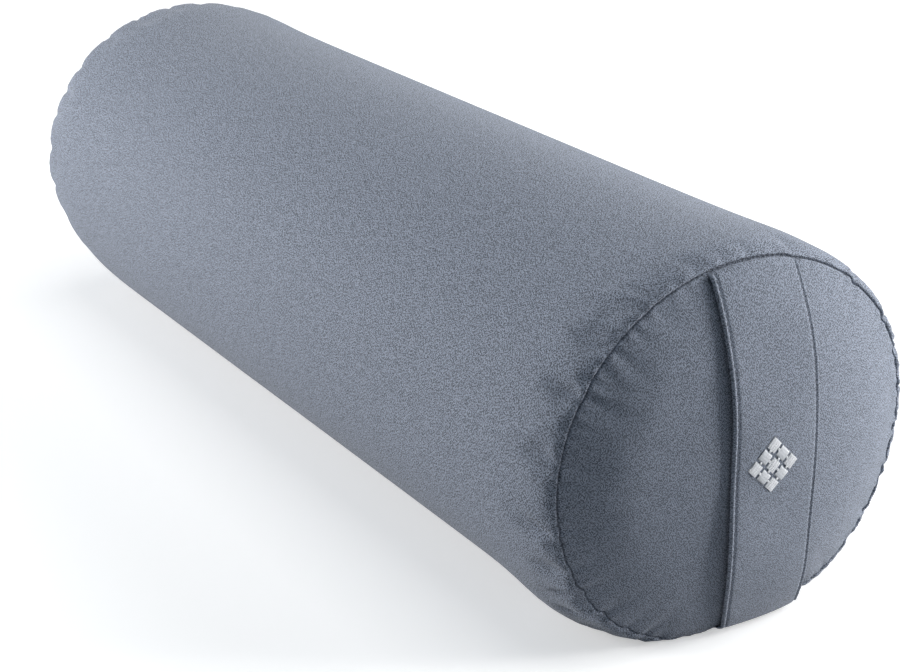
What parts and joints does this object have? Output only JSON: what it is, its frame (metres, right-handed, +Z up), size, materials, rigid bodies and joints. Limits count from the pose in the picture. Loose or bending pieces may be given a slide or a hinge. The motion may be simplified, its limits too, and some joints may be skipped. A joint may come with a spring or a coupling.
{
  "type": "round yoga bolster",
  "caption": "Round sewn bolster with drawn-in crowned ends, a carry band over the front disc, a long back zip with slider and pull, and a filled inner bag.",
  "frame": {"origin": "middle of the flat foot that the bolster rests on", "axes": "+X along the bolster towards the carry band, +Y towards the zip, +Z up"},
  "size_m": [0.7111, 0.2362, 0.2019],
  "materials": {
    "slate_twill": "fine slate-blue cotton twill, lightly melange, matt",
    "sewing_thread": "slate polyester sewing thread",
    "silver_thread": "silver-white rayon embroidery thread, satin sheen",
    "zip_weave": "woven polyester zip tape",
    "zip_nylon": "slate nylon coil",
    "zip_metal": "nickel-plated, satin",
    "natural_cotton": "undyed cotton",
    "grain_hulls": "loose grain hulls"
  },
  "bodies": {
    "bolster": {"cover_tube": "slate_twill", "cover_front_disc": "slate_twill", "cover_back_disc": "slate_twill", "front_seam_thread": "sewing_thread", "back_seam_thread": "sewing_thread", "handle_backing": "slate_twill", "handle_face": "slate_twill", "handle_stitch_open_edge": "sewing_thread", "handle_stitch_flat_edge": "sewing_thread", "handle_motif": "silver_thread", "zip_tape_upper": "zip_weave", "zip_tape_lower": "zip_weave", "zip_coil_upper": "zip_nylon", "zip_coil_lower": "zip_nylon", "zip_stitch_upper": "sewing_thread", "zip_stitch_lower": "sewing_thread", "zip_top_stop_upper": "zip_metal", "zip_top_stop_lower": "zip_metal", "zip_bottom_stop": "zip_metal", "inner_bag_tube": "natural_cotton", "inner_bag_front_disc": "natural_cotton", "inner_bag_back_disc": "natural_cotton", "inner_bag_front_thread": "natural_cotton", "inner_bag_back_thread": "natural_cotton", "filling": "grain_hulls"},
    "zip_slider_body": {"zip_slider": "zip_metal"},
    "zip_pull_body": {"zip_pull": "zip_metal"}
  },
  "joints": [
    {"name": "zip_slide", "type": "slide", "parent": "bolster", "child": "zip_slider_body", "axis": [1, 0, 0], "range_m": [0, 0.481]},
    {"name": "pull_swing", "type": "hinge", "parent": "zip_slider_body", "child": "zip_pull_body", "pos_m": [-0.2406, 0.11837, 0.0957], "axis": [0, 0, 1], "range_deg": [0, 180]}
  ]
}
